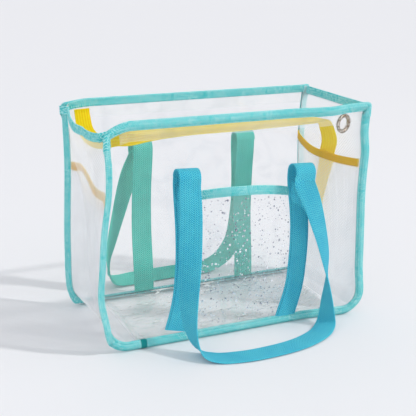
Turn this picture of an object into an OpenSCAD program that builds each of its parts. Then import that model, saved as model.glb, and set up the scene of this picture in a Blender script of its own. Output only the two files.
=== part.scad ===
// Clear beach bag: clear film front, back and floor, mesh sides, bound seams, two webbing handles,
// a clear front pocket, two inner mesh pockets, an eyelet and a long strap stowed under the rim.
// The origin is the middle of the floor that the bag rests on, X runs along the front and -Y is the front.

/* [Bag] */
// Width over the side seams
bag_width = 328; // [320:1:336]
// Height from the ground to the rim
bag_height = 255; // [250:1:262]
// Depth over the front and back films
bag_depth = 138; // [134:1:142]
// Radius of the bottom corners of the front and back
corner_radius = 30; // [26:1:36]
// Thickness of the clear film, the mesh and the facings
sheet = 0.8; // [0.6:0.1:1]
// Width of the seam allowance that stands out beyond the side walls
flange = 10; // [9:0.5:11]
// Distance from the middle to the seams between the mesh and the floor film
floor_seam_x = 124; // [118:1:128]
// Length of the flat floor
floor_length = 216; // [200:2:224]
// Depth of the flat floor
floor_depth = 104; // [90:2:110]

/* [Binding tape] */
// Thickness of the tape
tape = 0.6; // [0.4:0.1:0.7]
// Width of the tape's outer half along the seams
seam_tape_width = 11; // [9:0.5:12]
// Height of the tape along the rim
rim_tape_height = 10; // [8:0.5:12]
// Height of the film facing under the rim
facing_height = 22; // [18:1:24]

/* [Handles] */
// Width of the handle webbing
webbing_width = 25; // [22:1:28]
// Thickness of the handle webbing
webbing = 1.6; // [1.2:0.1:2]
// Distance between the two legs of a handle
leg_spacing = 138; // [134:1:142]
// Length of the sewn legs, up to the hinge line
leg_length = 177; // [174:1:180]
// Radius of the bend over which a handle hinges
bend_radius = 9.5; // [9:0.5:10]
// Lean of the front handle and the front pocket to the right, in degrees
front_lean = 2.9; // [0:0.1:3.5]

/* [Front pocket] */
// Height of the pocket over the foot of the handle's legs
pocket_height = 159; // [150:1:164]
// How far the middle of the pocket stands out from the front film
pocket_bulge = 8; // [7:0.5:9]

/* [Inner mesh pockets] */
// Height of the pockets' top edge
side_pocket_top = 178; // [165:1:190]
// How far the middle of a pocket stands off the side wall
side_pocket_bulge = 24; // [18:1:26]

/* [Eyelet] */
// Radius of the eyelet's hole
eyelet_bore_r = 7; // [6:0.5:8]
// Outer radius of the eyelet
eyelet_r = 11; // [10:0.5:12]
// Distance of the eyelet from the middle of the front
eyelet_x = 125.5; // [118:0.5:128]

/* [Stowed strap] */
// Width of the long yellow strap
strap_width = 18; // [16:1:20]
// Thickness of the long yellow strap
strap = 1.2; // [1:0.1:1.4]

/* [Hidden] */
$fn = 96;
smooth = 360;

half_width = bag_width / 2;
front_face = bag_depth / 2;
film_face = front_face - sheet;
lining_face = film_face - sheet;
sheet_top = bag_height - tape;
rim_bottom = bag_height - rim_tape_height;
wall_inset = tape + flange;
wall_x = half_width - wall_inset - sheet;
foot_z = 12;
front_foot_x = -11;
back_foot_x = 3;
hinge_y = front_face + webbing / 2 + bend_radius;
strand_y = hinge_y + bend_radius;
pocket_half = leg_spacing / 2 - webbing_width / 2 - 0.2;
eyelet_z = rim_bottom - eyelet_r - 0.5;
barrel = 0.8;
washer_r = eyelet_r - 0.5;

// The routes below list [point, direction across the webbing], chosen by hand.
front_route = [
    [[-71, -91, 155], [1, -0.2, 0]], [[-72, -93, 115], [0.9, -0.4, 0]], [[-75, -97, 62], [0.5, -0.8, 0]],
    [[-75, -104, 28], [0.2, -1, 0]], [[-68, -114, 8], [0, -1, 0]], [[-52, -124, 1.6], [0, -1, 0]],
    [[-25, -131, 1.4], [0, -1, 0]], [[5, -132, 1.4], [0, -1, 0]], [[36, -129, 1.4], [0, -1, 0]],
    [[64, -122, 1.6], [0.2, -1, 0]], [[90, -109, 2], [0.5, -0.8, 0]], [[104, -96, 8], [0.3, -1, 0]],
    [[108, -88, 28], [0, -1, 0]], [[105, -85, 53], [-0.4, -0.9, 0]], [[98, -85, 80], [-0.7, -0.7, 0]],
    [[87, -86, 118], [-0.9, -0.5, 0]], [[74, -88, 156], [-1, -0.2, 0]]];
back_route = [
    [[-78, 91, 150], [-1, -0.2, 0]], [[-91, 94, 100], [-0.85, -0.5, 0]], [[-99, 98, 62], [-0.7, -0.7, 0]],
    [[-101, 103, 35], [-0.4, -0.9, 0]], [[-97, 109, 13], [-0.1, -1, 0]], [[-85, 114, 6], [0, -1, -0.2]],
    [[-65, 116, 5.5], [0, -1, -0.3]], [[-30, 118, 5.5], [0, -1, -0.3]], [[5, 119, 5.5], [0, -1, -0.3]],
    [[37, 118, 6], [0.1, -1, -0.3]], [[60, 114, 18], [0.3, -0.9, -0.2]], [[74, 105, 46], [0.6, -0.8, 0]],
    [[78, 97, 90], [0.9, -0.4, 0]], [[76, 92, 135], [1, -0.2, 0]]];
strap_route = [
    [[-141, 65.8, 243.5], [1, 0, 0]], [[-141, 63, 236], [1, 0, 0]], [[-143, 48, 228], [1, 0, 0.1]],
    [[-143, 20, 224], [0.9, 0, 0.4]], [[-143, -12, 226], [0.7, 0, 0.7]], [[-143, -42, 232], [0.3, 0, 1]],
    [[-140, -56.5, 236], [0, 0, 1]], [[-127, -60, 236], [0, 0.5, 0.9]], [[-105, -57.5, 236], [0, 0.9, 0.5]],
    [[-60, -57, 237], [0, 1, 0.3]], [[0, -57, 237], [0, 1, 0.3]], [[60, -57, 238], [0, 1, 0.3]],
    [[90, -57, 238], [-0.2, 1, 0.2]], [[105, -55, 237], [-0.5, 0.9, 0]], [[118, -47, 220], [-0.7, 0.7, 0]],
    [[128, -35, 205], [-0.8, 0.6, 0]], [[135, -21, 191], [-0.7, 0.7, 0]], [[141, -9, 173], [-0.5, 0.9, 0]],
    [[144, 2, 150], [-0.3, 1, 0]], [[144, 8, 122], [-0.1, 1, 0]], [[144, 10, 98], [0, 1, 0]]];

function unit(v) = v / norm(v);
function curve_at(a, b, c, d, t) =
    0.5 * (2 * b + (c - a) * t + (2 * a - 5 * b + 4 * c - d) * t * t + (3 * b - a - 3 * c + d) * t * t * t);
// Points of a smooth curve through the listed ones, with steps points for each stretch.
function smoothed(list, steps) =
    let (last = len(list) - 1)
    concat([for (i = [0:last - 1], k = [0:steps - 1])
        curve_at(list[max(i - 1, 0)], list[i], list[i + 1], list[min(i + 2, last)], k / steps)], [list[last]]);
function corners(c, t, across, w, h) =
    let (a = unit(across - (across * t) * t), n = cross(t, a))
    [c + a * w / 2 + n * h / 2, c - a * w / 2 + n * h / 2, c - a * w / 2 - n * h / 2, c + a * w / 2 - n * h / 2];

// A flat strap of width w and thickness h, swept along a route of [point, direction across].
module swept_strap(route, w, h, steps) {
    line = smoothed([for (r = route) r[0]], steps);
    turn = smoothed([for (r = route) r[1]], steps);
    n = len(line);
    points = [for (i = [0:n - 1])
        each corners(line[i], unit(line[min(i + 1, n - 1)] - line[max(i - 1, 0)]), turn[i], w, h)];
    sides = [for (i = [0:n - 2], k = [0:3], half = [0:1])
        let (a = 4 * i + k, b = 4 * i + (k + 1) % 4) half == 0 ? [a, a + 4, b] : [b, a + 4, b + 4]];
    ends = [[0, 1, 2], [0, 2, 3], [4 * n - 2, 4 * n - 3, 4 * n - 4], [4 * n - 1, 4 * n - 2, 4 * n - 4]];
    polyhedron(points, concat(sides, ends));
}

// Draws a front view between two distances in front of the bag's middle plane.
module slab(near, far) translate([0, -near, 0]) rotate([90, 0, 0]) linear_extrude(far - near) children();
module at_back() mirror([0, 1, 0]) children();
module box(low, high) translate(low) cube(high - low);

// Front view of the bag, inset from the outside of the binding tape, with round bottom corners.
module outline(inset, top) {
    r = corner_radius - inset;
    w = half_width - inset;
    translate([-w, inset + r]) square([2 * w, top - inset - r]);
    translate([r - w, inset]) square([2 * (w - r), r + 1]);
    for (side = [-1, 1]) translate([side * (w - r), inset + r]) circle(r);
}
module seam_band(outer, inner, top) difference() {
    outline(outer, top);
    outline(inner, top + 1);
}
module side_part(side) {
    translate([side > 0 ? floor_seam_x : -half_width - 1, -1])
        square([half_width + 1 - floor_seam_x, bag_height + 2]);
}
module eyelet_disc(r) translate([eyelet_x, eyelet_z]) circle(r);

module front_panel() color([0.85, 0.92, 0.95, 0.3]) slab(film_face, front_face) difference() {
    outline(tape, sheet_top);
    eyelet_disc(eyelet_bore_r + barrel);
}
module back_panel() color([0.85, 0.92, 0.95, 0.3]) at_back() slab(film_face, front_face)
    outline(tape, sheet_top);

// The floor film is a shallow pan: a ledge along the seams, then slopes down to the flat floor.
module pan_solid(lift) intersection() {
    length = 2 * floor_seam_x;
    ledge = lining_face - tape - 0.4;
    translate([-floor_seam_x, 0, lift]) rotate([90, 0, 90]) linear_extrude(length)
        polygon([[-film_face, wall_inset + sheet], [-film_face, wall_inset], [-ledge, wall_inset],
            [-floor_depth / 2, 0], [floor_depth / 2, 0], [ledge, wall_inset], [film_face, wall_inset],
            [film_face, wall_inset + sheet]]);
    translate([0, 0, lift]) slab(-film_face, film_face)
        polygon([[-floor_seam_x, wall_inset + sheet], [-floor_seam_x, wall_inset], [-floor_length / 2, 0],
            [floor_length / 2, 0], [floor_seam_x, wall_inset], [floor_seam_x, wall_inset + sheet]]);
}
module floor_allowance() slab(lining_face, film_face) difference() {
    translate([-floor_seam_x, tape]) square([2 * floor_seam_x, flange + sheet / 2]);
}
module bottom_panel() color([0.85, 0.92, 0.95, 0.3]) {
    difference() {
        pan_solid(0);
        pan_solid(sheet);
    }
    floor_allowance();
    at_back() floor_allowance();
}

// A mesh side wall with its seam allowances turned out against the front and back films.
module mesh_allowance(side) slab(lining_face, film_face) intersection() {
    seam_band(tape, wall_inset, sheet_top);
    side_part(side);
}
module side_mesh(side) color([0.95, 0.95, 0.97, 0.6]) {
    slab(-film_face, film_face) intersection() {
        seam_band(wall_inset, wall_inset + sheet, sheet_top);
        side_part(side);
    }
    mesh_allowance(side);
    at_back() mesh_allowance(side);
}
module left_side_mesh() side_mesh(-1);
module right_side_mesh() side_mesh(1);

module facing_view() translate([-wall_x, bag_height - facing_height])
    square([2 * wall_x, facing_height - tape]);
module front_facing() color([0.9, 0.94, 0.95, 0.4]) slab(lining_face, film_face) difference() {
    facing_view();
    eyelet_disc(eyelet_bore_r + barrel);
}
module back_facing() color([0.9, 0.94, 0.95, 0.4]) at_back() slab(lining_face, film_face) facing_view();

// Tape folded over the edge of a film and the allowance behind it.
module seam_binding() color("turquoise") {
    slab(front_face, front_face + tape) seam_band(0, seam_tape_width, rim_bottom);
    slab(lining_face, front_face) seam_band(0, tape, rim_bottom);
    slab(lining_face - tape, lining_face) seam_band(0, wall_inset - tape, rim_bottom);
}
module front_seam_binding() seam_binding();
module back_seam_binding() at_back() seam_binding();

// The rim tapes are folded over the top edges. The inner half leaves gaps for the side walls.
module rim_strip(low) translate([-half_width, low]) square([bag_width, bag_height - low]);
module wall_gaps() for (side = [-1, 1]) translate([side * (wall_x + sheet / 2) - sheet / 2 - tape, 0])
    square([sheet + 2 * tape, sheet_top]);
module rim_binding() color("turquoise") {
    slab(front_face, front_face + tape) rim_strip(rim_bottom);
    slab(lining_face, front_face) rim_strip(sheet_top);
    slab(lining_face - tape, lining_face) difference() {
        rim_strip(rim_bottom);
        wall_gaps();
    }
}
module front_rim_binding() rim_binding();
module back_rim_binding() at_back() rim_binding();
module side_rim_binding() color("darkturquoise") difference() {
    reach = lining_face - tape;
    box([wall_x - tape, -reach, rim_bottom], [wall_x + sheet + tape, reach, bag_height]);
    box([wall_x, -reach - 1, rim_bottom - 1], [wall_x + sheet, reach + 1, sheet_top]);
}
module right_rim_binding() side_rim_binding();
module left_rim_binding() mirror([1, 0, 0]) side_rim_binding();

// Everything sewn on the front film leans a little; it stands on the seam tape.
module leaning(foot_x, lean) translate([foot_x, 0, foot_z]) rotate([0, lean, 0]) children();
module above_seam() difference() {
    children();
    box([-half_width, -bag_depth, -bag_height], [half_width, bag_depth, seam_tape_width + 0.1]);
}

// Plan of a layer that bulges from the front film, from one depth of the layer to another.
module pocket_arc(inner, outer) intersection() {
    r = (pocket_half * pocket_half + pocket_bulge * pocket_bulge) / (2 * pocket_bulge);
    translate([0, r - front_face - pocket_bulge]) difference() {
        circle(r + outer, $fn = smooth);
        circle(r + inner, $fn = smooth);
    }
    translate([-pocket_half, -front_face - 2 * pocket_bulge]) square([2 * pocket_half, 2 * pocket_bulge]);
}
module pocket_film(top) translate([0, 0, -foot_z / 2]) linear_extrude(top + foot_z / 2)
    pocket_arc(-sheet / 2, sheet / 2);
module front_pocket() color([0.85, 0.88, 0.92, 0.4]) above_seam() leaning(front_foot_x, front_lean)
    pocket_film(pocket_height - tape);
module front_pocket_binding() color("turquoise") leaning(front_foot_x, front_lean) difference() {
    translate([0, 0, pocket_height - rim_tape_height]) linear_extrude(rim_tape_height)
        pocket_arc(-sheet / 2 - tape, sheet / 2 + tape);
    pocket_film(pocket_height - tape);
}

// Plan of an inner pocket, which bulges from the right side wall into the bag.
module side_pocket_arc(inner, outer) intersection() {
    span = lining_face - tape - 0.4;
    r = (span * span + side_pocket_bulge * side_pocket_bulge) / (2 * side_pocket_bulge);
    translate([wall_x + r - side_pocket_bulge, 0]) difference() {
        circle(r + outer, $fn = smooth);
        circle(r + inner, $fn = smooth);
    }
    translate([wall_x - 2 * side_pocket_bulge, -span]) square([2 * side_pocket_bulge - 0.1, 2 * span]);
}
module side_pocket_layer(inner, outer, bottom, top) translate([0, 0, bottom])
    linear_extrude(top - bottom) side_pocket_arc(inner, outer);
module mesh_pocket() color([0.95, 0.95, 0.97, 0.6]) intersection() {
    side_pocket_layer(-sheet / 2, sheet / 2, 0, side_pocket_top - tape);
    slab(-front_face, front_face) outline(wall_inset + sheet + 0.2, bag_height);
}
module pocket_binding() color("gold") difference() {
    side_pocket_layer(-sheet / 2 - tape, sheet / 2 + tape, side_pocket_top - rim_tape_height, side_pocket_top);
    side_pocket_layer(-sheet / 2, sheet / 2, 0, side_pocket_top - tape);
}
module right_mesh_pocket() mesh_pocket();
module left_mesh_pocket() mirror([1, 0, 0]) mesh_pocket();
module right_pocket_binding() pocket_binding();
module left_pocket_binding() mirror([1, 0, 0]) pocket_binding();

module leg(side) slab(front_face, front_face + webbing)
    translate([side * leg_spacing / 2 - webbing_width / 2, -foot_z / 2])
        square([webbing_width, leg_length + foot_z / 2]);
module bend(side) translate([side * leg_spacing / 2 - webbing_width / 2, -hinge_y, leg_length])
    rotate([90, 0, 90]) linear_extrude(webbing_width) difference() {
        circle(bend_radius + webbing / 2);
        circle(bend_radius - webbing / 2);
        translate([-bend_radius - webbing, -2 * bend_radius])
            square([2 * (bend_radius + webbing), 2 * bend_radius]);
    }
module bends() for (side = [-1, 1]) bend(side);

// A box with a cross in it, sewn near the top of each leg.
module thread(length) square([length, 0.8], center = true);
module cross_stitch() {
    w = webbing_width - 6;
    for (s = [-1, 1]) {
        translate([0, s * w / 2]) thread(w + 0.8);
        translate([s * w / 2, 0]) rotate(90) thread(w + 0.8);
        rotate(s * 45) thread(w * sqrt(2) - 0.4);
    }
}
module stitching() slab(front_face + webbing, front_face + webbing + 0.3)
    for (side = [-1, 1]) translate([side * leg_spacing / 2, leg_length - webbing_width / 2 - 4]) cross_stitch();

module front_sewn() above_seam() leaning(front_foot_x, front_lean) children();
module back_sewn() at_back() above_seam() leaning(back_foot_x, 0) children();

module front_handle_left_leg() color("deepskyblue") front_sewn() leg(-1);
module front_handle_right_leg() color("deepskyblue") front_sewn() leg(1);
module front_handle_bends() color("deepskyblue") leaning(front_foot_x, front_lean) bends();
module front_handle_stitching() color("deepskyblue") leaning(front_foot_x, front_lean) stitching();
module back_handle_left_leg() color("mediumaquamarine") back_sewn() leg(-1);
module back_handle_right_leg() color("mediumaquamarine") back_sewn() leg(1);
module back_handle_bends() color("mediumaquamarine") at_back() leaning(back_foot_x, 0) bends();
module back_handle_stitching() color("mediumaquamarine") at_back() leaning(back_foot_x, 0) stitching();

// The hanging part of a handle starts just under its bends and drops straight at first.
function strand(foot_x, lean, side, drop) = let (x = side * leg_spacing / 2, z = leg_length - drop)
    [foot_x + x * cos(lean) + z * sin(lean), foot_z - x * sin(lean) + z * cos(lean)];
function strand_rows(foot_x, lean, side, y, across, drops) = [for (drop = drops)
    let (p = strand(foot_x, lean, side, drop)) [[p[0], y, p[1]], [across * cos(lean), 0, -across * sin(lean)]]];
module front_handle_loop() color("deepskyblue")
    swept_strap(concat(strand_rows(front_foot_x, front_lean, -1, -strand_y, 1, [0.3, 4, 12]), front_route,
        strand_rows(front_foot_x, front_lean, 1, -strand_y, -1, [12, 4, 0.3])), webbing_width, webbing, 4);
module back_handle_loop() color("mediumaquamarine")
    swept_strap(concat(strand_rows(back_foot_x, 0, -1, strand_y, -1, [0.3, 4, 12]), back_route,
        strand_rows(back_foot_x, 0, 1, strand_y, 1, [12, 4, 0.3])), webbing_width, webbing, 4);

module eyelet() color("rosybrown") {
    slab(front_face, front_face + webbing) difference() {
        eyelet_disc(eyelet_r);
        eyelet_disc(eyelet_bore_r);
    }
    slab(lining_face - 1.2, front_face + 0.4) difference() {
        eyelet_disc(eyelet_bore_r + barrel);
        eyelet_disc(eyelet_bore_r);
    }
}
module eyelet_washer() color("rosybrown") slab(lining_face - 1.2, lining_face) difference() {
    eyelet_disc(washer_r);
    eyelet_disc(eyelet_bore_r + barrel);
}
module stowed_strap() color("gold") swept_strap(strap_route, strap_width, strap, 3);

front_panel();
back_panel();
bottom_panel();
left_side_mesh();
right_side_mesh();
front_facing();
back_facing();
front_seam_binding();
back_seam_binding();
front_rim_binding();
back_rim_binding();
left_rim_binding();
right_rim_binding();
front_pocket();
front_pocket_binding();
left_mesh_pocket();
right_mesh_pocket();
left_pocket_binding();
right_pocket_binding();
front_handle_left_leg();
front_handle_right_leg();
front_handle_bends();
front_handle_loop();
back_handle_left_leg();
back_handle_right_leg();
back_handle_bends();
back_handle_loop();
front_handle_stitching();
back_handle_stitching();
eyelet();
eyelet_washer();
stowed_strap();
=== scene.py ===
import math
import bpy
import numpy as np
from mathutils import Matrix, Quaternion, Vector


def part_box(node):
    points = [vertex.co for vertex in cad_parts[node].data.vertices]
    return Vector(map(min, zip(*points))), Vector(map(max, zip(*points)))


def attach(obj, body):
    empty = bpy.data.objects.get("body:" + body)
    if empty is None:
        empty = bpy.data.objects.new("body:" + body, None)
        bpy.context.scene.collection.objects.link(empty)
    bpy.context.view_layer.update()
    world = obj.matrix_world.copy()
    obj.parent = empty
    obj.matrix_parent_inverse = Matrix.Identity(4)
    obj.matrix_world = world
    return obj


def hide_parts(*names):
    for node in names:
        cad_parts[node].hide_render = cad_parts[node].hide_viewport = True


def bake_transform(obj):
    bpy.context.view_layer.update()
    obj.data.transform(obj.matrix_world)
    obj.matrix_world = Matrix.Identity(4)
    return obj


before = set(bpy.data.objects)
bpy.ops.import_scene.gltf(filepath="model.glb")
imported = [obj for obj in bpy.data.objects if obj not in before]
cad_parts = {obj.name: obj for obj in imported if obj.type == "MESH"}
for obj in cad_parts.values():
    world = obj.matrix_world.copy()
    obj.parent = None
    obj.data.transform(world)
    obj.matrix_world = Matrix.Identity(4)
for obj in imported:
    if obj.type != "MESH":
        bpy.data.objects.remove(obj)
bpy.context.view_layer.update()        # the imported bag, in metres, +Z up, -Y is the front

# ------------ sizes, from the frame where it has them
film_low, film_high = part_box("front_panel")
seam_low, seam_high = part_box("front_seam_binding")
eyelet_low, eyelet_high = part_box("eyelet")
EYELET_X, EYELET_Z = (eyelet_low.x + eyelet_high.x) / 2, (eyelet_low.z + eyelet_high.z) / 2
facing_low, facing_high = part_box("front_facing")

HALF_WIDTH = seam_high.x
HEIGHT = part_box("front_rim_binding")[1].z
FRONT = -film_low.y              # outer face of the front film, as a depth from the middle plane
SHEET = film_high.y - film_low.y
TAPE = film_low.y - seam_low.y
CORNER_R = 0.030                 # bottom corners of the front and back
FLANGE = 0.0106                  # from the outside of the seam tape to the side wall
WALL_X = HALF_WIDTH - FLANGE - SHEET / 2
RIM_TAPE = 0.010                 # height of the rim tape
RIM_R = 0.0125                   # largest rounding of the top corners of the front and back
SEAM_TAPE = 0.011                # width of the seam tape
STRAND_SHADOW_X = -0.1171            # where the front handle's left strand casts its shadow across the front seam tape, painted there as a darker layer of tape
FLOOR_SEAM_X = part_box("bottom_panel")[1].x
FLAT_X, FLAT_Y = 0.108, 0.052    # half sizes of the flat floor
FLOOR_SEAM_Y = 0.0668
WEBBING = 0.025                  # width of the handle webbing
WEBBING_T = 0.0016
LEG_SPACING = 0.138
LEG_TOP = 0.177                  # from the legs' foot to the hinge line
FOOT_Z = 0.012
FRONT_FOOT_X, BACK_FOOT_X = -0.011, 0.003
FRONT_LEAN = math.radians(2.9)
BEND_R = 0.0095
POCKET_HALF = LEG_SPACING / 2 - WEBBING / 2
POCKET_TOP = 0.159
STRAP_WIDTH, STRAP_T = 0.018, 0.0012
MESH_T = 0.0003
EDGE_GAP = 0.0008                # from the outside of a tape to the edge of what it binds
POCKET_GAP = 0.0008              # from a side wall's middle to the inner pocket on it
STITCH_INSET = 0.0018            # from a tape's inner edge to its row of stitches

# Routes of the straps, each a point and the direction across the webbing, within 5 mm of the CAD's.
FRONT_ROUTE = [
    ((-0.071, -0.091, 0.155), (1, -0.2, 0)), ((-0.072, -0.093, 0.115), (0.9, -0.4, 0)),
    ((-0.075, -0.097, 0.062), (0.5, -0.8, 0)), ((-0.075, -0.104, 0.028), (0.2, -1, 0)),
    ((-0.068, -0.114, 0.008), (0, -1, 0)), ((-0.052, -0.124, 0.0016), (0, -1, 0)),
    ((-0.025, -0.131, 0.0014), (0, -1, 0)), ((0.005, -0.132, 0.0014), (0, -1, 0)),
    ((0.036, -0.129, 0.0014), (0, -1, 0)), ((0.062, -0.122, 0.0016), (0.2, -1, 0)),
    ((0.086, -0.109, 0.002), (0.5, -0.8, 0)), ((0.099, -0.096, 0.008), (0.3, -1, 0)),
    ((0.104, -0.088, 0.028), (0, -1, 0)), ((0.105, -0.085, 0.053), (-0.4, -0.9, 0)),
    ((0.101, -0.085, 0.08), (-0.75, -0.7, 0)), ((0.092, -0.086, 0.112), (-0.9, -0.5, 0)),
    ((0.078, -0.0875, 0.15), (-1, -0.2, 0)),
]
BACK_ROUTE = [
    ((-0.078, 0.091, 0.15), (-1, -0.2, 0)), ((-0.091, 0.094, 0.1), (-0.85, -0.5, 0)),
    ((-0.099, 0.098, 0.062), (-0.7, -0.7, 0)), ((-0.101, 0.103, 0.035), (-0.4, -0.9, 0)),
    ((-0.097, 0.109, 0.013), (-0.1, -1, 0)), ((-0.085, 0.114, 0.006), (0, -1, -0.2)),
    ((-0.065, 0.116, 0.0055), (0, -1, -0.3)), ((-0.03, 0.118, 0.0055), (0, -1, -0.3)),
    ((0.005, 0.119, 0.0055), (0, -1, -0.3)), ((0.037, 0.118, 0.006), (0.1, -1, -0.3)),
    ((0.06, 0.114, 0.018), (0.3, -0.9, -0.2)), ((0.074, 0.105, 0.046), (0.6, -0.8, 0)),
    ((0.078, 0.097, 0.09), (0.9, -0.4, 0)), ((0.076, 0.092, 0.135), (1, -0.2, 0)),
]
STRAP_ROUTE = [
    ((-0.141, 0.0658, 0.2435), (1, 0, 0)), ((-0.141, 0.063, 0.236), (1, 0, 0)),
    ((-0.143, 0.046, 0.2245), (1, 0, 0.1)), ((-0.143, 0.02, 0.219), (0.9, 0, 0.4)),
    ((-0.143, -0.012, 0.222), (0.7, 0, 0.7)), ((-0.143, -0.042, 0.231), (0.3, 0, 1)),
    ((-0.14, -0.0565, 0.236), (0, 0, 1)), ((-0.127, -0.06, 0.236), (0, 0.5, 0.9)),
    ((-0.105, -0.0575, 0.236), (0, 0.9, 0.5)), ((-0.06, -0.057, 0.237), (0, 1, 0.3)),
    # Darker turquoise: painted shadow that the front handle's left strand casts on the front seam tape.
    ((0, -0.057, 0.237), (0, 1, 0.3)), ((0.06, -0.057, 0.238), (0, 1, 0.3)),
    ((0.09, -0.057, 0.238), (-0.2, 1, 0.2)), ((0.105, -0.055, 0.237), (-0.5, 0.9, 0)),
    ((0.118, -0.047, 0.22), (-0.7, 0.7, 0)), ((0.128, -0.035, 0.205), (-0.8, 0.6, 0)),
    ((0.135, -0.021, 0.191), (-0.7, 0.7, 0)), ((0.141, -0.009, 0.173), (-0.5, 0.9, 0)),
    ((0.144, 0.002, 0.15), (-0.3, 1, 0)), ((0.144, 0.008, 0.122), (-0.1, 1, 0)),
    ((0.144, 0.01, 0.098), (0, 1, 0)),
]


# ------------ camera, light and floor
def make_camera():
    azimuth, elevation, roll = (math.radians(a) for a in (-24.08, 17.52, 0.79))
    target, distance = Vector((-0.0109, 0, 0.1292)), 1.0192
    back = Vector((math.sin(azimuth) * math.cos(elevation), -math.cos(azimuth) * math.cos(elevation),
                   math.sin(elevation)))
    camera = bpy.data.objects.new("camera", bpy.data.cameras.new("camera"))
    camera.data.sensor_width, camera.data.lens = 36, 75.24
    camera.location = target + back * distance
    camera.rotation_mode = "QUATERNION"
    camera.rotation_quaternion = back.to_track_quat("Z", "Y") @ Quaternion((0, 0, 1), roll)
    bpy.context.scene.collection.objects.link(camera)
    bpy.context.scene.camera = camera


def add_light(name, kind, energy, direction, colour=(1, 1, 1), distance=1.5, size=1.0):
    """A lamp that shines along direction at the bag, from that distance."""
    lamp = bpy.data.lights.new(name, kind)
    lamp.energy, lamp.color = energy, colour
    if kind == "SUN":
        lamp.angle = size
    else:
        lamp.shape, lamp.size, lamp.size_y = "RECTANGLE", size, size * 0.6
    light = bpy.data.objects.new(name, lamp)
    heading = Vector(direction).normalized()
    light.location = Vector((0, 0, 0.12)) - heading * distance
    light.rotation_mode = "QUATERNION"
    light.rotation_quaternion = heading.to_track_quat("-Z", "Y")
    bpy.context.scene.collection.objects.link(light)


def make_studio():
    add_light("key", "SUN", 1.15, (-0.585, 0.407, -0.70), (1, 0.985, 0.96), size=math.radians(3))
    add_light("softbox_right", "AREA", 1.6, (-0.75, 0.35, -0.55), (1, 1, 1), 1.6, 0.8)
    add_light("softbox_left", "AREA", 1.2, (0.8, 0.45, -0.35), (0.95, 0.98, 1), 1.6, 0.9)
    world = bpy.data.worlds.new("studio")
    world.use_nodes = True
    sky = world.node_tree.nodes["Background"]
    sky.inputs["Color"].default_value = (0.95, 0.957, 0.985, 1)
    sky.inputs["Strength"].default_value = 0.83
    scene = bpy.context.scene
    scene.world = world
    scene.view_settings.view_transform = "Standard"
    scene.cycles.transparent_max_bounces = 64
    bpy.ops.mesh.primitive_plane_add(size=40, location=(0, 6, -0.0002))
    floor = bpy.context.object
    floor.name = "floor"
    floor.data.materials.append(plain_material("floor", (0.80, 0.805, 0.83), 0.75))


# ------------ node helpers
class Tree:
    """A material's node tree, with short calls for the nodes that the patterns are made of."""

    def __init__(self, name):
        self.material = bpy.data.materials.new(name)
        self.material.use_nodes = True
        self.nodes = self.material.node_tree.nodes
        self.nodes.clear()
        self.output = self.add("OutputMaterial")

    def add(self, kind):
        return self.nodes.new("ShaderNode" + kind)

    def link(self, value, socket):
        if isinstance(value, bpy.types.NodeSocket):
            self.material.node_tree.links.new(value, socket)
        else:
            socket.default_value = value

    @staticmethod
    def rgba(colour):
        return colour if isinstance(colour, bpy.types.NodeSocket) else (*colour, 1)

    def math(self, operation, a, b=0.0, c=0.0):
        node = self.add("Math")
        node.operation = operation
        for value, socket in zip((a, b, c), node.inputs):
            self.link(value, socket)
        return node.outputs[0]

    def uv(self):
        """Metres across and along the piece, from its own UV map."""
        node = self.add("UVMap")
        node.uv_map = "weave"
        split = self.add("SeparateXYZ")
        self.link(node.outputs[0], split.inputs[0])
        return node.outputs[0], split.outputs[0], split.outputs[1]

    def noise(self, scale, detail=2.0, vector=None, distortion=0.0):
        node = self.add("TexNoise")
        node.inputs["Scale"].default_value = scale
        node.inputs["Detail"].default_value = detail
        node.inputs["Distortion"].default_value = distortion
        if vector is None:
            vector = self.add("TexCoord").outputs["Object"]
        self.link(vector, node.inputs["Vector"])
        return node.outputs["Fac"]

    def stretched(self, factors):
        """Object position, scaled by its own factor along each axis."""
        node = self.add("VectorMath")
        node.operation = "MULTIPLY"
        self.link(self.add("TexCoord").outputs["Object"], node.inputs[0])
        node.inputs[1].default_value = factors
        return node.outputs[0]

    def wave(self, position, pitch, shift=0.0):
        """From 0 to 1 and back over each pitch."""
        turn = self.math("MULTIPLY_ADD", position, 2 * math.pi / pitch, shift)
        return self.math("MULTIPLY_ADD", self.math("SINE", turn), 0.5, 0.5)

    def ramp(self, value, low, high, to_low=0.0, to_high=1.0):
        node = self.add("MapRange")
        for v, socket in zip((value, low, high, to_low, to_high), node.inputs):
            self.link(v, socket)
        return node.outputs[0]

    def mix(self, share, a, b):
        node = self.add("Mix")
        node.data_type = "RGBA"
        self.link(share, node.inputs[0])
        for value, socket in ((a, node.inputs[6]), (b, node.inputs[7])):
            self.link(self.rgba(value), socket)
        return node.outputs[2]

    def bump(self, height, distance, strength=1.0):
        node = self.add("Bump")
        node.inputs["Strength"].default_value = strength
        node.inputs["Distance"].default_value = distance
        self.link(height, node.inputs["Height"])
        return node.outputs[0]

    def principled(self, colour, roughness=0.5, **sockets):
        node = self.add("BsdfPrincipled")
        self.link(self.rgba(colour), node.inputs["Base Color"])
        self.link(roughness, node.inputs["Roughness"])
        for name, value in sockets.items():
            self.link(value, node.inputs[name.replace("_", " ")])
        return node.outputs[0]

    def transparent(self, colour=(1, 1, 1)):
        node = self.add("BsdfTransparent")
        self.link(self.rgba(colour), node.inputs[0])
        return node.outputs[0]

    def mix_shader(self, share, a, b):
        node = self.add("MixShader")
        for value, socket in zip((share, a, b), node.inputs):
            self.link(value, socket)
        return node.outputs[0]

    def lit_through(self, shader, colour, share):
        """Lets that share of the light through to the far side, as thin cloth does."""
        glow = self.add("BsdfTranslucent")
        self.link(colour, glow.inputs[0])
        return self.mix_shader(share, shader, glow.outputs[0])

    def finish(self, shader):
        self.link(shader, self.output.inputs["Surface"])
        return self.material


# ------------ materials
def plain_material(name, colour, roughness):
    tree = Tree(name)
    return tree.finish(tree.principled(colour, roughness, Specular_IOR_Level=0.2))


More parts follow.
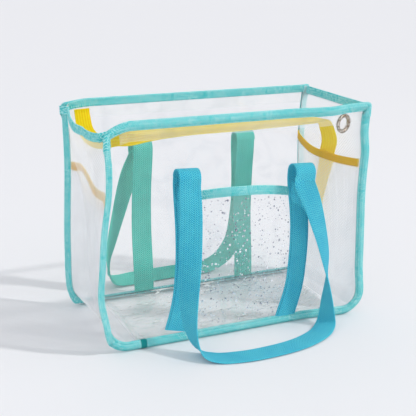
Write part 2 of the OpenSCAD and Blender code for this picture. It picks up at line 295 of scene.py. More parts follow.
def film_material(name, haze, tint, ripple=0.0006, crease_highlight_share=0.0, reflection_patch_tint=(0.965, 0.97, 0.975)):
    """Clear vinyl: see-through, a little milky and uneven, glossy at its slow ripples and fine crinkles; its
    greyer see-through patches are painted reflection.
    """
    tree = Tree(name)
    slow = tree.noise(14, 1.5)
    fine = tree.noise(120, 3)
    # Patches where the film lets through a greyer light: painted reflection in the film.
    painted_reflection_patches = tree.ramp(tree.noise(22, 3, distortion=1.5), 0.5, 0.72)
    streaks = tree.noise(1, 5, tree.stretched((26, 95, 60)), 1.4)
    # Crinkle streaks: they bump the film, and they also add milky white along it, a painted highlight where the
    # crinkles catch the light.
    crease_and_highlight = tree.math("MULTIPLY", tree.ramp(streaks, 0.57, 0.66, 0, crease_highlight_share), tree.ramp(slow, 0.38, 0.55))
    height = tree.math("MULTIPLY_ADD", fine, 0.06, slow)
    normal = tree.bump(tree.math("MULTIPLY_ADD", crease_and_highlight, 0.3, height), ripple * 9, 0.6)
    weight = tree.add("LayerWeight")
    tree.link(normal, weight.inputs["Normal"])
    grazing = tree.math("POWER", weight.outputs["Facing"], 5.0)
    shine = tree.math("MULTIPLY_ADD", grazing, 0.40, 0.016)
    milk = tree.principled(tint, tree.ramp(fine, 0.3, 0.7, 0.3, 0.5), Normal=normal)
    gloss = tree.principled((1, 1, 1), 0.09, Metallic=1.0, Normal=normal)
    # The crinkle streaks raise the milky share: painted highlight.
    cloud = tree.math("ADD", tree.ramp(slow, 0.35, 0.75, haze * 0.6, haze * 1.5), crease_and_highlight)
    clear = tree.transparent(tree.mix(painted_reflection_patches, (0.998, 0.999, 0.999), reflection_patch_tint))
    body = tree.mix_shader(cloud, clear, milk)
    return tree.finish(tree.mix_shader(shine, body, gloss))


def mesh_material(name, pitch, closed):
    """Fine knitted mesh: rows of small round holes, staggered, in matt white yarn."""
    tree = Tree(name)
    _, u, v = tree.uv()
    slanted = tree.math("ADD", u, v)
    crossed = tree.math("SUBTRACT", u, v)
    holes = tree.math("MULTIPLY", tree.wave(slanted, pitch), tree.wave(crossed, pitch))
    shade = tree.noise(60, 3)
    colour = (0.97, 0.972, 0.99)
    yarn = tree.mix(shade, [c * 0.9 for c in colour], colour)
    threads = tree.ramp(holes, 0.05, 0.22, closed, closed * 0.1)
    cloth = tree.principled(yarn, 0.8, Normal=tree.bump(holes, -0.0003))
    soft = tree.lit_through(cloth, yarn, 0.5)
    return tree.finish(tree.mix_shader(threads, tree.transparent(), soft))


def woven_material(name, light, dark, rib, pitch, relief=0.0005, melange=0.5, through=0.2, grain=900, spread=0.27):
    """Woven tape or webbing: slanted threads that turn at each rib, with mottled yarn; painted shade darkens the
    grooves at each rib's edges and the dips between threads.
    """
    tree = Tree(name)
    _, u, v = tree.uv()
    zigzag = tree.math("PINGPONG", u, rib)
    thread = tree.wave(tree.math("ADD", v, zigzag), pitch)
    groove_relief_and_shade = tree.wave(u, rib, math.pi / 2)
    mottle = tree.noise(grain, 2)
    patches = tree.noise(45, 2)
    height = tree.math("MULTIPLY_ADD", groove_relief_and_shade, -0.35, thread)
    # The relief also sets the colour: painted shade in the grooves between ribs and the dips between threads.
    tone = tree.math("MULTIPLY_ADD", mottle, melange, tree.math("MULTIPLY", height, 0.5))
    tone = tree.math("MULTIPLY_ADD", patches, 0.35, tone)
    middle = 0.34 + melange / 2
    colour = tree.mix(tree.ramp(tone, middle - spread, middle + spread), dark, light)
    shader = tree.principled(colour, tree.ramp(mottle, 0.2, 0.8, 0.7, 0.9), Sheen_Weight=0.1,
                             Specular_IOR_Level=0.2, Normal=tree.bump(height, relief))
    return tree.finish(tree.lit_through(shader, colour, through))


def ribbed_material(name, light, dark, rib):
    """Thin strap with raised ribs along its length."""
    tree = Tree(name)
    _, u, v = tree.uv()
    rib_relief_and_shade = tree.wave(u, rib)
    picks = tree.wave(v, 0.0009)
    mottle = tree.noise(300, 2)
    # The ribs also set the colour: painted shade darkens the furrows between them, and their crowns are lighter.
    tone = tree.math("MULTIPLY_ADD", rib_relief_and_shade, 0.6, tree.math("MULTIPLY", mottle, 0.5))
    height = tree.math("MULTIPLY_ADD", picks, 0.15, rib_relief_and_shade)
    colour = tree.mix(tree.ramp(tone, 0.15, 0.85), dark, light)
    shader = tree.principled(colour, 0.62, Specular_IOR_Level=0.25, Normal=tree.bump(height, 0.0003))
    return tree.finish(tree.lit_through(shader, colour, 0.5))


def metal_material(name, colour, worn):
    """Aged nickel: satin, browner in scattered spots and brighter where it has rubbed."""
    tree = Tree(name)
    spots = tree.noise(500, 4)
    scratch = tree.noise(2500, 2)
    shader = tree.principled(tree.mix(tree.ramp(spots, 0.35, 0.65), worn, colour),
                             tree.ramp(scratch, 0.3, 0.7, 0.22, 0.42), Metallic=1.0,
                             Normal=tree.bump(scratch, 0.00005))
    return tree.finish(shader)


def glitter_material(name):
    """Foil flakes: each has its own tone, from bright silver to dark blue grey."""
    tree = Tree(name)
    tone = tree.add("Attribute")
    tone.attribute_name = "flake_tone"
    colour = tree.mix(tone.outputs["Fac"], (0.10, 0.12, 0.20), (0.95, 0.96, 1.0))
    return tree.finish(tree.principled(colour, 0.25, Metallic=0.6))


# ------------ soft shape of the standing bag
def smooth(t):
    t = np.clip(t, 0, 1)
    return t * t * (3 - 2 * t)


def curve_through(at, knots):
    """Smooth values at the given places through a few knots, each (place, value), in rising order."""
    xs, ys = (np.array(k, float) for k in zip(*knots))
    slope = np.gradient(ys, xs)
    at = np.clip(at, xs[0], xs[-1])
    i = np.clip(np.searchsorted(xs, at, side="right") - 1, 0, len(xs) - 2)
    gap = xs[i + 1] - xs[i]
    t = (at - xs[i]) / gap
    return ((2 * t**3 - 3 * t**2 + 1) * ys[i] + (t**3 - 2 * t**2 + t) * gap * slope[i]
            + (3 * t**2 - 2 * t**3) * ys[i + 1] + (t**3 - t**2) * gap * slope[i + 1])


# How far each upright edge has moved along X, by height.
EDGE_FRONT_LEFT = [(0, 0.001), (0.03, -0.002), (0.065, -0.008), (0.1, -0.006), (0.14, -0.003),
                   (0.185, 0.0025), (0.235, 0.0025), (0.255, 0.001)]
EDGE_FRONT_RIGHT = [(0, 0), (0.04, 0), (0.1, -0.002), (0.15, -0.004), (0.21, -0.002), (0.255, 0)]
EDGE_BACK_LEFT = [(0, 0), (0.03, -0.005), (0.075, -0.0055), (0.185, -0.002), (0.255, -0.003)]
EDGE_BACK_RIGHT = [(0, 0), (0.1, -0.003), (0.2, -0.007), (0.24, -0.005), (0.255, -0.003)]
# How far the left rim hangs down, from the front corner to the back one.
LEFT_RIM_DROP = [(-0.069, 0.0115), (-0.058, 0.018), (-0.044, 0.0225), (-0.02, 0.0235), (0, 0.0245),
                 (0.02, 0.0215), (0.04, 0.0155), (0.055, 0.010), (0.069, 0.004)]
# How far each upright seam's flange is turned outwards, in degrees, by the signs of X and Y.
FLANGE_TURN = {(-1, -1): 54, (1, -1): 6, (-1, 1): 68, (1, 1): 25}
FLANGE_BEND_R = 0.002
FLANGE_X, SEAM_DEPTH = 0.1537, 0.0681      # where an upright seam's flange starts to bend
BACK_FLANGE_TURN = math.radians(72)
BACK_SEAM_DROP = 0.0051                    # how far that lets the back's bottom seam down


def bent(distance, angle):
    """How far along and aside a strip reaches that bends by an angle over its first FLANGE_BEND_R."""
    turned = angle * np.clip(distance / FLANGE_BEND_R, 0, 1)
    past = np.maximum(distance - FLANGE_BEND_R, 0)
    along = np.sin(turned) * FLANGE_BEND_R / angle + past * math.cos(angle)
    aside = (1 - np.cos(turned)) * FLANGE_BEND_R / angle + past * math.sin(angle)
    return turned, along, aside


def turn_flanges(x, y):
    """Turns the seam flange outwards at each of the four upright edges."""
    for (sx, sy), degrees in FLANGE_TURN.items():
        over = sx * x - FLANGE_X
        deep = sy * y - SEAM_DEPTH
        turned, along, aside = bent(over, math.radians(degrees))
        here = (over > 0) & (sy * y > 0.060)
        x, y = (np.where(here, sx * (FLANGE_X + along - deep * np.sin(turned)), x),
                np.where(here, sy * (SEAM_DEPTH + aside + deep * np.cos(turned)), y))
    return x, y


def lay_back_flange(y, z):
    """Folds the flange of the back's bottom seam out onto the ground, which lets that seam down."""
    under = FLANGE - z
    deep = y - SEAM_DEPTH
    turned, along, aside = bent(under, BACK_FLANGE_TURN)
    here = (under > 0) & (y > 0.0655)
    lowered = z - BACK_SEAM_DROP * (1 - smooth((z - FLANGE) / 0.05)) * smooth(y / 0.065) * smooth(z / FLANGE)
    return (np.where(here, SEAM_DEPTH + aside + deep * np.cos(turned), y),
            np.where(here, FLANGE - BACK_SEAM_DROP - along + deep * np.sin(turned), lowered))


def soften(points):
    """Moves points of the straight bag to where its soft walls stand."""
    p = np.array(points, float)
    x, y, z = p[..., 0].copy(), p[..., 1].copy(), p[..., 2].copy()
    front = smooth((0.068 - y) / 0.136)
    p[..., 0], p[..., 1] = turn_flanges(x, y)
    p[..., 1], p[..., 2] = lay_back_flange(p[..., 1], z)
    to_left, to_right = smooth((-x - 0.05) / 0.11), smooth((x - 0.05) / 0.11)
    left = front * curve_through(z, EDGE_FRONT_LEFT) + (1 - front) * curve_through(z, EDGE_BACK_LEFT)
    right = front * curve_through(z, EDGE_FRONT_RIGHT) + (1 - front) * curve_through(z, EDGE_BACK_RIGHT)
    p[..., 0] += to_left * left + to_right * right

    # The films belly out between their seams, the front one below the handle's hinge line.
    across = np.clip(1 - (x / 0.15) ** 2, 0, 1)
    rise = np.sin(np.pi * np.clip((z - 0.012) / 0.185, 0, 1)) ** 2
    p[..., 1] += (1 - front) * (0.009 * across * rise) - front * (0.008 * across * rise)
    ripple = np.sin(x * 61 + z * 23 + 1.3) * np.sin(z * 47 - x * 19) * across * smooth((z - 0.01) / 0.04)
    p[..., 1] += 0.0011 * ripple * smooth((np.abs(y) - 0.05) / 0.01) * (1 - 0.8 * smooth((z - 0.17) / 0.02))
    turned = 0.006 * smooth((x - 0.105) / 0.045) - 0.005 * np.exp(-((x - 0.1) / 0.025) ** 2)
    p[..., 1] += front * turned * smooth((z - 0.195) / 0.03)
    p[..., 1] -= front * 0.006 * smooth((x - 0.08) / 0.06) * smooth((0.06 - z) / 0.05)

    # The left rim hangs, and takes the front left corner down with it.
    reach = 0.78 + 0.37 * smooth((np.abs(y) - 0.062) / 0.006)
    slack = np.clip((-x - 0.130) / 0.030, 0, reach) ** 1.6 * smooth((z - 0.13) / 0.125)
    p[..., 2] -= slack * curve_through(np.clip(y, -0.069, 0.069), LEFT_RIM_DROP)
    return p


# Where the crease in the left wall runs, as Y by height.
WALL_CREASE = [(0.01, -0.02), (0.03, 0.004), (0.071, 0.015), (0.12, 0.026), (0.156, 0.044), (0.2, 0.062)]


def slack_side(points, side):
    """Adds what only a side wall does: the left one bows out at its rim and folds along a slanting crease."""
    p = np.array(points, float)
    y, z = p[..., 1], p[..., 2]
    middle = np.clip(1 - (y / 0.067) ** 2, 0, 1)
    upright = smooth((z - 0.012) / 0.03)
    if side < 0:
        crease_y = curve_through(z, WALL_CREASE)
        fold = 0.006 * np.exp(-((y - crease_y) / 0.018) ** 2) + 0.005 * np.exp(-((y - crease_y) / 0.005) ** 2)
        fold *= upright * (1 - smooth((z - 0.17) / 0.05))
        second = 0.004 * np.exp(-((y + 0.03 - z * 0.1) / 0.012) ** 2) * upright
        p[..., 0] += middle * (fold + second - 0.011 * smooth((z - 0.15) / 0.1))
    else:
        wave = np.sin(y * 55 + z * 12) * np.sin(z * 21 + 0.7)
        p[..., 0] += middle * upright * (0.002 * wave + 0.003 * np.sin(np.pi * z / 0.25))
    return p


# ------------ mesh building
def new_object(name, points, faces, uvs=None):
    mesh = bpy.data.meshes.new(name)
    mesh.from_pydata([tuple(p) for p in points], [], [tuple(int(i) for i in f) for f in faces])
    if uvs is not None:
        layer = mesh.uv_layers.new(name="weave")
        which = np.empty(len(mesh.loops), np.int32)
        mesh.loops.foreach_get("vertex_index", which)
        layer.data.foreach_set("uv", np.asarray(uvs, np.float32)[which].ravel())
    mesh.shade_smooth()
    mesh.set_sharp_from_angle(angle=math.radians(50))
    mesh.validate()
    piece = bpy.data.objects.new(name, mesh)
    bpy.context.scene.collection.objects.link(piece)
    return piece


def grid_quads(rows, columns, skip=None):
    quads = []
    for i in range(rows - 1):
        for j in range(columns - 1):
            if skip is None or not skip[i, j]:
                a = i * columns + j
                quads.append((a, a + 1, a + columns + 1, a + columns))
    return np.array(quads)


def vertex_normals(points, quads):
    a, b, c, d = (points[quads[:, k]] for k in range(4))
    face = np.cross(c - a, d - b)
    normals = np.zeros_like(points)
    for k in range(4):
        np.add.at(normals, quads[:, k], face)
    return normals / np.maximum(np.linalg.norm(normals, axis=1, keepdims=True), 1e-12)


def lengths_along(line):
    """How far along a line each of its points is."""
    return np.concatenate([[0], np.cumsum(np.linalg.norm(np.diff(line, axis=0), axis=1))])


def points_at(line, at):
    """The points of a line at distances along it."""
    along = lengths_along(line)
    return np.stack([np.interp(at, along, line[:, k]) for k in range(3)], -1)


def grid_uv(grid):
    """Metres across (second index) and along (first index) a grid of points."""
    rows, columns = grid.shape[:2]
    across, along = lengths_along(grid[rows // 2]), lengths_along(grid[:, columns // 2])
    return np.stack(np.meshgrid(across, along), axis=-1).reshape(-1, 2)


def shell(name, grid, thickness, skip=None, shape=soften):
    """A closed sheet of that thickness about a grid of points, shaped by the soft bag."""
    rows, columns = grid.shape[:2]
    uvs = grid_uv(grid)
    points = shape(grid).reshape(-1, 3)
    quads = grid_quads(rows, columns, skip)
    used, index = np.unique(quads, return_inverse=True)
    points, uvs, quads = points[used], uvs[used], index.reshape(-1, 4)
    offset = vertex_normals(points, quads) * thickness / 2
    count = len(points)
    edges = np.concatenate([quads[:, [k, (k + 1) % 4]] for k in range(4)])
    _, first, uses = np.unique(np.sort(edges, axis=1), axis=0, return_index=True, return_counts=True)
    border = edges[first[uses == 1]]
    faces = [tuple(q) for q in quads] + [tuple(q[::-1] + count) for q in quads]
    faces += [(b, a, a + count, b + count) for a, b in border]
    return new_object(name, np.concatenate([points + offset, points - offset]), faces, np.tile(uvs, (2, 1)))


def smoothed(values, steps):
    """A smooth curve through a list of points, with that many points for each stretch."""
    v = np.array(values, float)
    padded = np.concatenate([v[:1], v, v[-1:]])
    made = []
    for i in range(len(v) - 1):
        a, b, c, d = padded[i : i + 4]
        for k in range(steps):
            t = k / steps
            made.append(0.5 * (2 * b + (c - a) * t + (2 * a - 5 * b + 4 * c - d) * t * t
                               + (3 * b - a - 3 * c + d) * t**3))
    return np.array(made + [v[-1]])


def unit(v):
    return v / np.maximum(np.linalg.norm(v, axis=-1, keepdims=True), 1e-12)


def strap_profile(width, thickness, cells=8):
    """A flat strap's cross-section with rounded edges: offsets across and through it, and metres across."""
    half, r = width / 2, thickness / 2
    arc = np.linspace(-math.pi / 2, math.pi / 2, 5)
    flat = np.linspace(-(half - r), half - r, cells + 1)
    right = np.stack([half - r + r * np.cos(arc), r * np.sin(arc)], 1)
    top = np.stack([flat[::-1][1:-1], np.full(cells - 1, r)], 1)
    left = -right
    bottom = np.stack([flat[1:-1], np.full(cells - 1, -r)], 1)
    return np.concatenate([right, top, left, bottom])


def sweep(name, line, across, width, thickness, start=0.0, shape=None):
    """A closed strap along a line of points, with the direction across it at each."""
    line, across = np.asarray(line, float), np.asarray(across, float)
    tangent = unit(np.gradient(line, axis=0))
    side = unit(across - (across * tangent).sum(1, keepdims=True) * tangent)
    through = np.cross(tangent, side)
    profile = strap_profile(width, thickness)
    ring = len(profile)
    points = (line[:, None] + side[:, None] * profile[None, :, :1] + through[:, None] * profile[None, :, 1:])
    along = start + lengths_along(line)
    uvs = np.stack(np.broadcast_arrays(profile[None, :, 0] + width / 2, along[:, None]), -1).reshape(-1, 2)
    points = points.reshape(-1, 3)
    if shape is not None:
        points = shape(points)
    last = (len(line) - 1) * ring
    faces = [(i * ring + j, i * ring + (j + 1) % ring, (i + 1) * ring + (j + 1) % ring, (i + 1) * ring + j)
             for i in range(len(line) - 1) for j in range(ring)]
    faces += [tuple(range(ring))[::-1], tuple(last + j for j in range(ring))]
    return new_object(name, points, faces, uvs)


def settle(piece, material, slot, body="bag", *nodes):
    """Gives a piece its material, the body it rides on and the CAD nodes it stands for; its slot is not used."""
    piece.data.materials.append(material)
    if body:
        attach(piece, body)
    if nodes:
        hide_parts(*nodes)
    return piece


# ------------ outlines of the bag
def outline(top, step=0.004):
    """Points (x, z) and outward directions down the left side, along the bottom and up the right side."""
    rise = np.linspace(top, CORNER_R, int((top - CORNER_R) / step) + 1)[:-1]
    turn = np.linspace(math.pi, 1.5 * math.pi, int(CORNER_R * math.pi / 2 / step * 1.5) + 1)[:-1]
    run = np.linspace(-(HALF_WIDTH - CORNER_R), HALF_WIDTH - CORNER_R, int(2 * HALF_WIDTH / step))
    centre = HALF_WIDTH - CORNER_R
    left = [((-HALF_WIDTH, z), (-1, 0)) for z in rise]
    away = [(math.cos(a), math.sin(a)) for a in turn]
    corner = [((-centre + CORNER_R * dx, CORNER_R + CORNER_R * dz), (dx, dz)) for dx, dz in away]
    bottom = [((x, 0), (0, -1)) for x in run]
    half = left + corner
    right = [((-x, z), (-dx, dz)) for (x, z), (dx, dz) in reversed(half)]
    whole = half + bottom + right
    return np.array([w[0] for w in whole]), np.array([w[1] for w in whole])


RIM_END_DROPS = (0.0165, 0.0145)    # how far below the rim the last rows of its tape are


def rim_rows(inset, radii):
    """X and Z along a front or back rim, at distances in from its edge, round its two top corners."""
    inset = np.asarray(inset, float)
    arc = np.linspace(math.pi, math.pi / 2, 13)
    ends = []
    for radius in radii:
        r = np.maximum(radius - inset, 0.0008)
        x, z = HALF_WIDTH - inset - r, HEIGHT - inset - r
        down = [np.stack([HALF_WIDTH - inset, np.full_like(inset, HEIGHT - d)], -1) for d in RIM_END_DROPS]
        ends.append(down + [np.stack([x - r * math.cos(t), z + r * math.sin(t)], -1) for t in arc])
    left, right = ([row * (side, 1) for row in end] for side, end in zip((-1, 1), ends))
    run = [left[-1] + (right[-1] - left[-1]) * t for t in np.linspace(0, 1, 92)[1:-1]]
    rows = np.array(left + run + right[::-1])
    return rows[..., 0], rows[..., 1]


def corner_cut(z):
    """How far the rounded top corner draws an upright edge in, at a height."""
    up = np.clip(z - (HEIGHT - RIM_R), 0, RIM_R)
    return RIM_R - np.sqrt(RIM_R**2 - up * up)


def along_outline(place, outward, inset, depth, side):
    """Points at an inset from the outline and a depth from the middle plane; side is -1 at the front."""
    x = place[:, None, 0] - outward[:, None, 0] * inset
    z = place[:, None, 1] - outward[:, None, 1] * inset
    return np.stack([x, np.broadcast_to(side * depth, x.shape), z], -1)


def corner_inset(z, r=CORNER_R - FLANGE):
    """How far a bottom corner of radius r curves in at a height; the side wall's, unless r is given."""
    low = np.clip(CORNER_R - z, 0, r)
    return r - np.sqrt(np.maximum(r * r - low * low, 0))


def film_rows(inset, bottom, top, count):
    """Heights and half widths of a film with round bottom corners."""
    r = CORNER_R - inset
    z = np.concatenate([inset + r * (1 - np.cos(np.linspace(0, math.pi / 2, 9))),
                        np.linspace(CORNER_R, top, count)[1:]])
    z = z[z >= bottom - 1e-9]
    half = HALF_WIDTH - inset - corner_inset(z, r) - corner_cut(z + inset)
    return z, half


def puffed(a, width, puff):
    """How far the outer half of a folded tape stands out, at a distance from its fold."""
    return puff * np.sin(np.pi * np.clip(a / width, 0, 1)) ** 0.8


def folded_profile(width, inner, outer, fold=0.0011, cells=5, puff=0.0):
    """A tape folded over an edge: distances from the edge, and depths, from the outer half to the inner."""
    middle, r = (inner + outer) / 2, (outer - inner) / 2
    arc = np.linspace(math.pi / 2, 1.5 * math.pi, 7)
    start = fold + 0.0003
    a = np.concatenate([np.linspace(width, start, cells + 1)[:-1], start + fold * np.cos(arc),
                        np.linspace(start, width - 0.001, cells + 1)[1:]])
    b = np.concatenate([outer + puffed(a[:cells], width, puff), middle + r * np.sin(arc),
                        np.full(cells, inner)])
    return a, b


THIN_FOLD = (RIM_TAPE, -0.0008, 0.0008, 0.0008)    # a tape folded over one thin layer
OUTER_TAPE = FRONT + 0.0003
INNER_TAPE = FRONT - 2 * SHEET - 0.0003
SECOND_LAYER = FRONT - 1.5 * SHEET     # middle of the sheet just inside the front or back film


# ------------ films, mesh and tapes
def main_film(side):
    z, half = film_rows(EDGE_GAP, 0, HEIGHT - EDGE_GAP, 56)
    s = np.linspace(-1, 1, 81)
    x = half[:, None] * s[None, :]
    depth = np.full_like(x, side * (FRONT - SHEET / 2))
    grid = np.stack([x, depth, np.broadcast_to(z[:, None], x.shape)], -1)
    skip = None
    if side < 0:
        grid, skip = with_eyelet_hole(grid)
    return grid, skip


def with_eyelet_hole(grid):
    """Opens the film behind the eyelet: points near the hole move to its rim, and the cells inside it go."""
    centre = np.array([EYELET_X, EYELET_Z])
    hole = 0.0088      # its radius
    away = grid[..., [0, 2]] - centre
    far = np.linalg.norm(away, axis=-1)
    near = (far < 0.0115) & (far > 0.0055)
    moved = centre + away / np.maximum(far, 1e-9)[..., None] * hole
    grid = grid.copy()
    grid[..., 0] = np.where(near, moved[..., 0], grid[..., 0])
    grid[..., 2] = np.where(near, moved[..., 1], grid[..., 2])
    middles = (grid[:-1, :-1] + grid[1:, :-1] + grid[:-1, 1:] + grid[1:, 1:])[..., [0, 2]] / 4
    return grid, np.linalg.norm(middles - centre, axis=-1) < hole * 0.86


def make_films(clear, facing):
    for side, name in ((-1, "front"), (1, "back")):
        grid, skip = main_film(side)
        film = settle(shell(name + "_film", grid, SHEET, skip), clear, "clear_film", "bag", name + "_panel")
        z = np.linspace(facing_low.z, HEIGHT - EDGE_GAP, 8)
        x = np.linspace(-0.142 if side < 0 else facing_low.x, facing_high.x, 81)
        grid = np.stack([*np.meshgrid(x, z), np.zeros((8, 81))], -1)[..., [0, 2, 1]]
        grid[..., 1] = side * SECOND_LAYER
        skip = None
        if side < 0:
            grid, skip = with_eyelet_hole(grid)
        strip = settle(shell(name + "_rim_facing", grid, SHEET * 0.9, skip), facing, "facing_film", "bag",
                       name + "_facing")


def floor_shape(x, y):
    rise_x = smooth((np.abs(x) - FLAT_X) / (FLOOR_SEAM_X - FLAT_X))
    rise_y = smooth((np.abs(y) - FLAT_Y) / (FLOOR_SEAM_Y - FLAT_Y)) * np.where(y > 0, 0.5, 1)
    lift = np.maximum(rise_x * (1 - 0.5 * smooth(y / 0.065)), rise_y) * FLANGE
    # Crinkles in the film, strongest in the front left corner.
    corner = np.exp(-(((x + 0.09) / 0.05) ** 2 + ((y + 0.03) / 0.04) ** 2))
    ridge = np.abs(np.sin(x * 95 + y * 210 + 2 * np.sin(y * 60))) ** 3
    other = np.abs(np.sin(x * 160 - y * 90 + 1.5 * np.sin(x * 40))) ** 4
    crinkle = 0.0022 * corner * ridge + (0.0007 + 0.0012 * corner) * other
    fade = smooth((FLOOR_SEAM_X - np.abs(x)) / 0.012) * smooth((0.067 - np.abs(y)) / 0.01)
    return SHEET / 2 + lift + crinkle * fade


def make_floor_film(clear):
    x = np.linspace(-FLOOR_SEAM_X, FLOOR_SEAM_X, 110)
    y = np.linspace(-SECOND_LAYER, SECOND_LAYER, 64)
    xs, ys = np.meshgrid(x, y)
    grid = np.stack([xs, ys, floor_shape(xs, ys)], -1)
    film = settle(shell("floor_film", grid, SHEET * 0.8, shape=np.array), clear, "clear_film", "bag",
                  "bottom_panel")


def side_wall_grid(side):
    """One side wall from the rim round the bottom corner to the floor seam, its allowances turned out."""
    place, outward = outline(HEIGHT - EDGE_GAP, 0.0045)
    keep = (place[:, 0] * side > 0) & (np.abs(place[:, 0]) > FLOOR_SEAM_X - 0.001)
    place, outward = place[keep], outward[keep]
    if side > 0:
        place, outward = place[::-1], outward[::-1]
    inset = FLANGE + SHEET / 2
    turn = 0.0015
    face = SECOND_LAYER
    flange = np.linspace(0.0014, inset - turn, 4)
    arc = np.linspace(0, math.pi / 2, 4)
    flat = np.linspace(-(face - turn), face - turn, 42)
    inward = np.concatenate([flange, inset - turn + turn * np.sin(arc[1:]), np.full(40, inset),
                             inset - turn + turn * np.sin(arc[:0:-1]), flange[::-1]])
    depth = np.concatenate([np.full(4, -face), -face + turn - turn * np.cos(arc[1:]), flat[1:-1],
                            face - turn + turn * np.cos(arc[:0:-1]), np.full(4, face)])
    inward = np.maximum(inward, np.minimum(corner_cut(place[:, 1:]) + 0.0014, inset - 0.001))
    x = place[:, None, 0] - outward[:, None, 0] * inward
    z = place[:, None, 1] - outward[:, None, 1] * inward
    return np.stack([x, np.broadcast_to(depth, x.shape), z], -1)


def side_shape(side):
    return lambda points: soften(slack_side(points, side))


def make_side_walls(mesh):
    for side, name in ((-1, "left"), (1, "right")):
        grid = side_wall_grid(side)
        wall = settle(shell(name + "_mesh_wall", grid, MESH_T, shape=side_shape(side)), mesh, "mesh", "bag",
                      name + "_side_mesh")


RIM_CORNERS = {-1: (0.0125, 0.005), 1: (0.004, 0.005)}     # rounding of the front's and back's top corners
SEAM_PUFF, RIM_PUFF = 0.0026, 0.0010
OUTER_LIFT, INNER_LIFT = 0.0011, -0.0009    # how far the rim tape clears the ends of the seam tape


def over_seam_tape(x):
    """From 0 to 1 where the rim tape passes over the seam tape."""
    return smooth((np.abs(x) - 0.149) / 0.008)


def make_tapes(tape, strand_shadow_tape, thread):
    place, outward = outline(HEIGHT - RIM_R - 0.001, 0.004)
    for side, name in ((-1, "front"), (1, "back")):
        a, b = folded_profile(SEAM_TAPE, INNER_TAPE, OUTER_TAPE, puff=SEAM_PUFF)
        taper = smooth((HEIGHT - RIM_R - place[:, 1:]) / 0.025)
        depth = np.minimum(b, OUTER_TAPE) + np.maximum(b - OUTER_TAPE, 0) * taper
        grid = along_outline(place, outward, a[None, :], depth, side)
        settle(shell(name + "_seam_tape", grid, TAPE), tape, "turquoise_tape", "bag", name + "_seam_binding")
        if side < 0:
            # A short, darker layer of tape over the front seam tape: painted shadow of the front handle's left
            # strand.
            strand_shadow_span = (place[:, 1] < 0.004) & (np.abs(place[:, 0] - STRAND_SHADOW_X) < 0.0042)
            a, b = folded_profile(SEAM_TAPE + 0.0005, INNER_TAPE - 0.0004, OUTER_TAPE + 0.0004,
                                  puff=SEAM_PUFF)
            grid = along_outline(place[strand_shadow_span], outward[strand_shadow_span], a[None, :] - 0.0003, b, side)
            grid[..., 2] = np.maximum(grid[..., 2], TAPE / 2)
            settle(shell("seam_tape_painted_shadow", grid, TAPE), strand_shadow_tape, "turquoise_tape")
        a, b = folded_profile(RIM_TAPE, INNER_TAPE, OUTER_TAPE + 0.0003, puff=RIM_PUFF)
        x, z = rim_rows(a, RIM_CORNERS[side])
        stand = over_seam_tape(x) * np.where(b > (INNER_TAPE + OUTER_TAPE) / 2, OUTER_LIFT, INNER_LIFT)
        grid = np.stack([x, side * (b + stand), z], -1)
        settle(shell(name + "_rim_tape", grid, TAPE), tape, "turquoise_tape", "bag", name + "_rim_binding")
        depth = FRONT + 0.0007 + puffed(SEAM_TAPE - STITCH_INSET, SEAM_TAPE, SEAM_PUFF) * taper
        seams = [along_outline(place, outward, np.array([[SEAM_TAPE - STITCH_INSET]]), depth, side)[:, 0]]
        x, z = rim_rows(RIM_TAPE - STITCH_INSET, RIM_CORNERS[side])
        depth = FRONT + 0.001 + puffed(RIM_TAPE - STITCH_INSET, RIM_TAPE, RIM_PUFF)
        seams.append(np.stack([x, side * (depth + OUTER_LIFT * over_seam_tape(x)), z], -1))
        stitches = stitching(name + "_tape_stitching", [soften(resampled(s)) for s in seams])
        settle(stitches, thread, "turquoise_tape")
    for side, name in ((-1, "left"), (1, "right")):
        a, b = folded_profile(*THIN_FOLD)
        y = np.linspace(-INNER_TAPE, INNER_TAPE - 0.0014, 60)
        flared = 0.009 * smooth((y - 0.054) / 0.013) ** 2
        x = side * (WALL_X + flared[:, None] + b[None, :])
        z = HEIGHT - a[None, :] - 0.5 * flared[:, None]
        grid = np.stack(np.broadcast_arrays(x, y[:, None], z), -1)
        piece = shell(name + "_rim_tape", grid, TAPE, shape=side_shape(side))
        settle(piece, tape, "turquoise_tape", "bag", name + "_rim_binding")


def resampled(line, step=0.0004):
    line = np.asarray(line, float)
    length = lengths_along(line)[-1]
    return points_at(line, np.linspace(0, length, max(2, int(length / step))))


def stitching(name, lines, length=0.0026, gap=0.0009, radius=0.00028):
    """Rows of stitches along lines: each is a short thread that dips into the cloth at its ends."""
    points, faces = [], []
    sides = 6
    for line in lines:
        starts = np.arange(gap, lengths_along(line)[-1] - length, length + gap)
        for centre in points_at(line, starts[:, None] + np.array([0, 0.2, 0.5, 0.8, 1]) * length):
            forward = unit(centre[-1] - centre[0])
            up = unit(np.cross(forward, [0.3, 1.0, 0.2]))
            other = np.cross(forward, up)
            thick = radius * np.array([0.35, 0.9, 1, 0.9, 0.35])
            base = len(points)
            for c, r in zip(centre, thick):
                for k in range(sides):
                    angle = 2 * math.pi * k / sides
                    points.append(c + r * (math.cos(angle) * up + math.sin(angle) * other))
            for i in range(4):
                for k in range(sides):
                    n = (k + 1) % sides
                    faces.append((base + i * sides + k, base + i * sides + n, base + (i + 1) * sides + n,
                                  base + (i + 1) * sides + k))
            faces.append(tuple(base + k for k in range(sides))[::-1])
            faces.append(tuple(base + 4 * sides + k for k in range(sides)))
    return new_object(name, points, faces)


# ------------ what is sewn on the films
# How far the front handle's legs bow sideways as they rise from their feet.
LEG_BOW = [(0, 0), (0.020, 0.0048), (0.045, 0.0082), (0.065, 0.0080), (0.100, 0.0062), (0.140, 0.0032),
           (0.160, 0.0009), (0.170, 0), (LEG_TOP, 0)]


